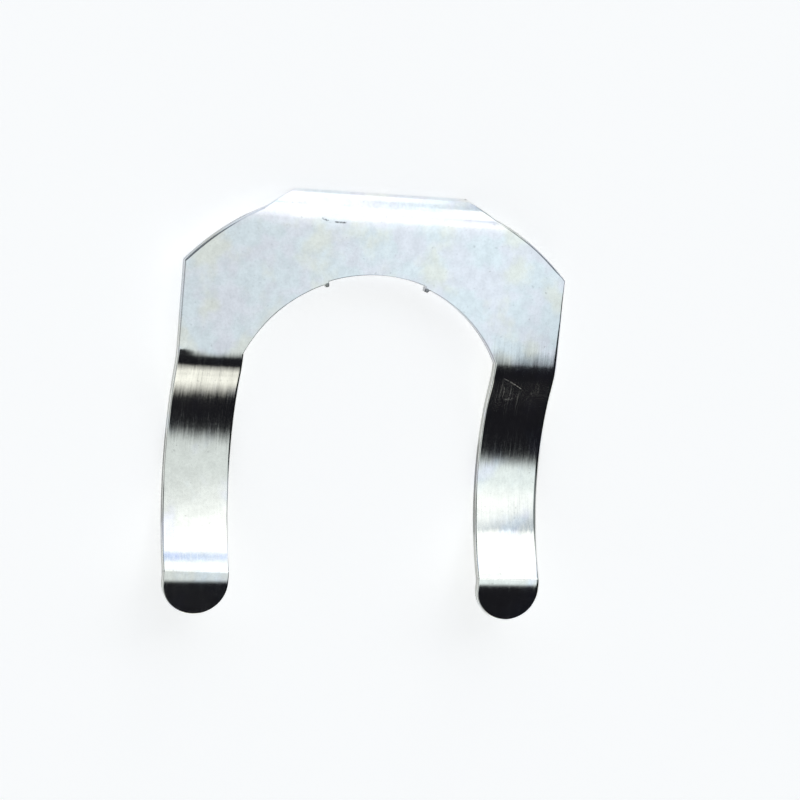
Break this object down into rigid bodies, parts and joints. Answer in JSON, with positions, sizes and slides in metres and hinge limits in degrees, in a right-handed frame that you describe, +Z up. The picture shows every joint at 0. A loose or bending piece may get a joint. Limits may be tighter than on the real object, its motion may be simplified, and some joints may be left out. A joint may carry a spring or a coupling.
{
  "type": "cam lock retaining clip",
  "caption": "U-shaped spring clip folded from plated steel strip: flat plate with a round throat and a bent back lip, and bowed legs with turned-up round tips.",
  "frame": {"origin": "middle of the clip's footprint, on the surface that it lies on", "axes": "+Z up, away from the bows of the legs; +Y from the leg tips towards the bent back lip; +X across the throat. The plate slopes down towards the lip by 2.8 degrees, as the clip lies at rest."},
  "size_m": [0.0244, 0.0264, 0.0033],
  "materials": {
    "zinc_plated_steel": "bright zinc plate over spring steel, faintly mottled, with fine drawn streaks along the legs"
  },
  "bodies": {
    "root": {"retaining_clip": "zinc_plated_steel"}
  },
  "joints": []
}
